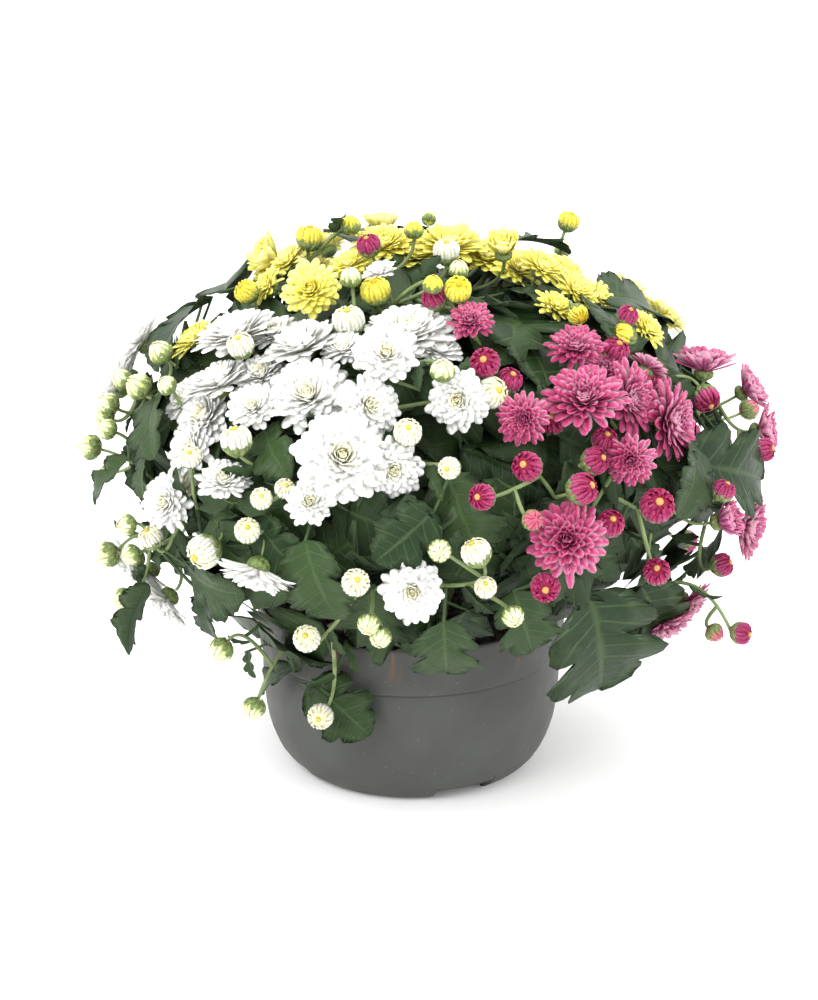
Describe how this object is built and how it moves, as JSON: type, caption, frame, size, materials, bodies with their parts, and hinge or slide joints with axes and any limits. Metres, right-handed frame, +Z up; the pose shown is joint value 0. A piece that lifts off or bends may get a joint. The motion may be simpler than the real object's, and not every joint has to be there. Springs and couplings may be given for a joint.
{
  "type": "pot chrysanthemum",
  "caption": "Florist chrysanthemum in a low grey plastic bowl: white, yellow and crimson blooms, buds and lobed leaves in one wide domed head.",
  "frame": {"origin": "on the surface the bowl stands on, under the middle of the plant's overall width and depth", "axes": "+Z up; -Y towards the viewer of the picture; +X to the viewer's right"},
  "size_m": [0.4333, 0.4231, 0.3586],
  "materials": {
    "bowl_plastic": "moulded mid grey plastic, satin to matte",
    "peat": null,
    "foliage_green": null,
    "white_petals": null,
    "yellow_petals": null,
    "crimson_petals": null
  },
  "bodies": {
    "root": {"bowl": "bowl_plastic", "crimson_blooms_01": "crimson_petals", "crimson_blooms_02": "crimson_petals", "crimson_blooms_03": "crimson_petals", "crimson_blooms_04": "crimson_petals", "crimson_blooms_05": "crimson_petals", "crimson_blooms_06": "crimson_petals", "crimson_blooms_07": "crimson_petals", "crimson_blooms_08": "crimson_petals", "crimson_blooms_09": "crimson_petals", "crimson_blooms_10": "crimson_petals", "crimson_blooms_11": "crimson_petals", "crimson_blooms_12": "crimson_petals", "crimson_stem_1": "foliage_green", "crimson_stem_2": "foliage_green", "crimson_stem_3": "foliage_green", "crimson_stem_4": "foliage_green", "crimson_stem_5": "foliage_green", "soil": "peat", "white_blooms_01": "white_petals", "white_blooms_02": "white_petals", "white_blooms_03": "white_petals", "white_blooms_04": "white_petals", "white_blooms_05": "white_petals", "white_blooms_06": "white_petals", "white_blooms_07": "white_petals", "white_blooms_08": "white_petals", "white_blooms_09": "white_petals", "white_blooms_10": "white_petals", "white_blooms_11": "white_petals", "white_blooms_12": "white_petals", "white_blooms_13": "white_petals", "white_blooms_14": "white_petals", "white_blooms_15": "white_petals", "white_blooms_16": "white_petals", "white_blooms_17": "white_petals", "white_stem_1": "foliage_green", "white_stem_2": "foliage_green", "white_stem_3": "foliage_green", "white_stem_4": "foliage_green", "white_stem_5": "foliage_green", "yellow_blooms_01": "yellow_petals", "yellow_blooms_02": "yellow_petals", "yellow_blooms_03": "yellow_petals", "yellow_blooms_04": "yellow_petals", "yellow_blooms_05": "yellow_petals", "yellow_blooms_06": "yellow_petals", "yellow_blooms_07": "yellow_petals", "yellow_blooms_08": "yellow_petals", "yellow_blooms_09": "yellow_petals", "yellow_blooms_10": "yellow_petals", "yellow_blooms_11": "yellow_petals", "yellow_blooms_12": "yellow_petals", "yellow_blooms_13": "yellow_petals", "yellow_blooms_14": "yellow_petals", "yellow_blooms_15": "yellow_petals", "yellow_stem_1": "foliage_green", "yellow_stem_2": "foliage_green", "yellow_stem_3": "foliage_green", "yellow_stem_4": "foliage_green"}
  },
  "joints": []
}
